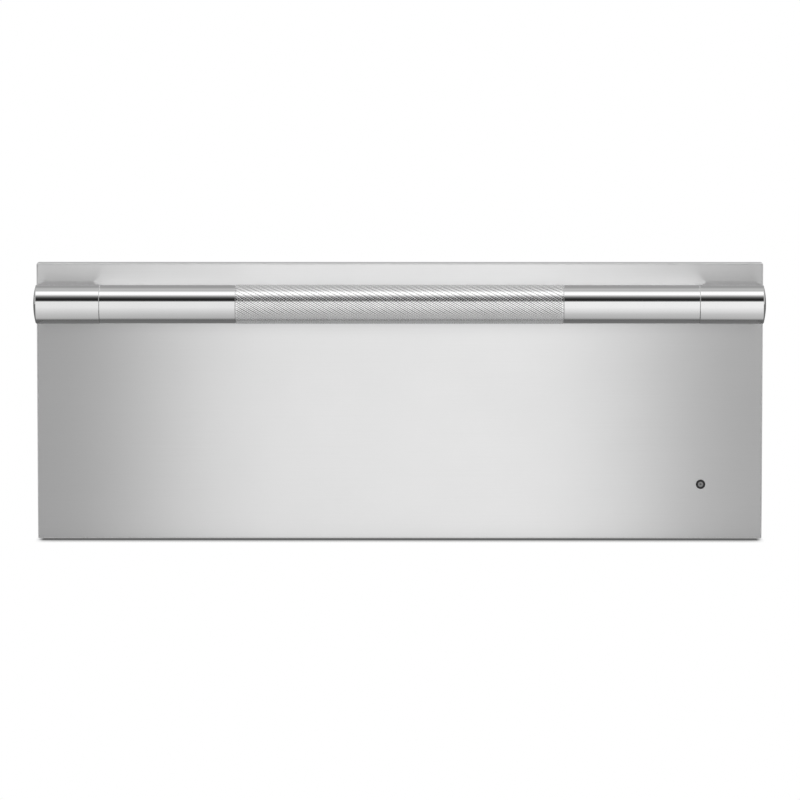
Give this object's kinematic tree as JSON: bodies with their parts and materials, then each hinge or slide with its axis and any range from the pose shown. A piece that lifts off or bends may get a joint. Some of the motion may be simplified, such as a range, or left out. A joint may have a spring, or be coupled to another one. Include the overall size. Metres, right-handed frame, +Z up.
{
  "type": "warming drawer",
  "caption": "Warming drawer: insulated casing with a heated cavity, full-extension drawer, stainless front and a full-width knurled bar handle.",
  "frame": {"origin": "on the worktop, under the middle of the overall box", "axes": "+X to the right seen from the front, +Y from the handle towards the back, +Z up"},
  "size_m": [0.756, 0.6678, 0.29],
  "materials": {
    "brushed_stainless": "vertical-lit stainless with fine horizontal brushing",
    "polished_stainless": "polished stainless tube",
    "knurled_stainless": "diamond knurl, satin",
    "galvanised_sheet": "zinc-coated sheet, satin",
    "cavity_steel": "satin stainless sheet",
    "painted_steel": "black powder coat",
    "zinc_fastener": "zinc plate",
    "slide_steel": "zinc plate",
    "element_sheath": "dark oxidised sheath",
    "black_plastic": "fine texture",
    "button_plastic": "satin",
    "lens_plastic": "clear light guide",
    "silicone_seal": "matt silicone",
    "foot_rubber": "matt",
    "mineral_wool": "loose fibre",
    "circuit_board": "solder resist",
    "wire_sleeve": "silicone sleeve",
    "terminal_ceramic": "glazed"
  },
  "bodies": {
    "casing": {"right_outer_rail": "slide_steel", "left_outer_rail": "slide_steel", "casing_cover": "galvanised_sheet", "base_pan": "galvanised_sheet", "back_panel": "galvanised_sheet", "face_frame": "painted_steel", "cavity_liner": "cavity_steel", "liner_supports": "galvanised_sheet", "insulation_wrap": "mineral_wool", "insulation_back": "mineral_wool", "insulation_base": "mineral_wool", "feet": "foot_rubber", "casing_screws": "zinc_fastener", "heating_element": "element_sheath", "element_rests": "cavity_steel", "temperature_probe": "polished_stainless", "thermal_cutout": "black_plastic", "control_fascia": "black_plastic", "control_board": "circuit_board", "power_bracket": "galvanised_sheet", "power_board": "circuit_board", "terminal_block": "terminal_ceramic", "cord_gland": "black_plastic", "gland_nut": "black_plastic", "wiring_loom": "wire_sleeve"},
    "drawer": {"front_skin": "brushed_stainless", "front_inner_panel": "galvanised_sheet", "front_insulation": "mineral_wool", "front_gasket": "silicone_seal", "front_screws": "zinc_fastener", "indicator_bezel": "black_plastic", "indicator_lens": "lens_plastic", "right_handle_cap": "polished_stainless", "left_handle_cap": "polished_stainless", "right_handle_tube": "polished_stainless", "left_handle_tube": "polished_stainless", "knurled_grip": "knurled_stainless", "handle_core": "galvanised_sheet", "handle_spacers": "black_plastic", "handle_backing_plates": "galvanised_sheet", "handle_screws": "zinc_fastener", "vent_guides": "cavity_steel", "right_side_member": "galvanised_sheet", "left_side_member": "galvanised_sheet", "rear_cross_member": "galvanised_sheet", "member_screws": "zinc_fastener", "drawer_pan": "cavity_steel", "wire_rack": "polished_stainless", "right_inner_rail": "slide_steel", "left_inner_rail": "slide_steel"},
    "right_mid_rail": {"right_mid_rail": "slide_steel"},
    "left_mid_rail": {"left_mid_rail": "slide_steel"},
    "outer_ball_cages": {"outer_ball_cages": "slide_steel"},
    "inner_ball_cages": {"inner_ball_cages": "slide_steel"},
    "vent_slider": {"vent_slider": "cavity_steel"},
    "button_power": {"button_power": "button_plastic"},
    "button_low": {"button_low": "button_plastic"},
    "button_medium": {"button_medium": "button_plastic"},
    "button_high": {"button_high": "button_plastic"},
    "button_proof": {"button_proof": "button_plastic"}
  },
  "joints": [
    {"name": "drawer_slide", "type": "slide", "parent": "casing", "child": "drawer", "axis": [0, -1, 0], "range_m": [0, 0.42]},
    {"name": "right_mid_rail_slide", "type": "slide", "parent": "casing", "child": "right_mid_rail", "axis": [0, -1, 0], "range_m": [0, 0.21]},
    {"name": "left_mid_rail_slide", "type": "slide", "parent": "casing", "child": "left_mid_rail", "axis": [0, -1, 0], "range_m": [0, 0.21]},
    {"name": "outer_ball_cages_slide", "type": "slide", "parent": "casing", "child": "outer_ball_cages", "axis": [0, -1, 0], "range_m": [0, 0.105]},
    {"name": "inner_ball_cages_slide", "type": "slide", "parent": "casing", "child": "inner_ball_cages", "axis": [0, -1, 0], "range_m": [0, 0.315]},
    {"name": "vent_slide", "type": "slide", "parent": "drawer", "child": "vent_slider", "axis": [1, 0, 0], "range_m": [0, 0.008]},
    {"name": "power_press", "type": "slide", "parent": "casing", "child": "button_power", "axis": [0, 1, 0], "range_m": [0, 0.0012], "stiffness_N_per_m": 500},
    {"name": "low_press", "type": "slide", "parent": "casing", "child": "button_low", "axis": [0, 1, 0], "range_m": [0, 0.0012], "stiffness_N_per_m": 500},
    {"name": "medium_press", "type": "slide", "parent": "casing", "child": "button_medium", "axis": [0, 1, 0], "range_m": [0, 0.0012], "stiffness_N_per_m": 500},
    {"name": "high_press", "type": "slide", "parent": "casing", "child": "button_high", "axis": [0, 1, 0], "range_m": [0, 0.0012], "stiffness_N_per_m": 500},
    {"name": "proof_press", "type": "slide", "parent": "casing", "child": "button_proof", "axis": [0, 1, 0], "range_m": [0, 0.0012], "stiffness_N_per_m": 500}
  ],
  "couplings": [
    {"joint": "right_mid_rail_slide", "follows": "drawer_slide", "ratio": 0.5},
    {"joint": "left_mid_rail_slide", "follows": "drawer_slide", "ratio": 0.5},
    {"joint": "outer_ball_cages_slide", "follows": "drawer_slide", "ratio": 0.25},
    {"joint": "inner_ball_cages_slide", "follows": "drawer_slide", "ratio": 0.75}
  ]
}
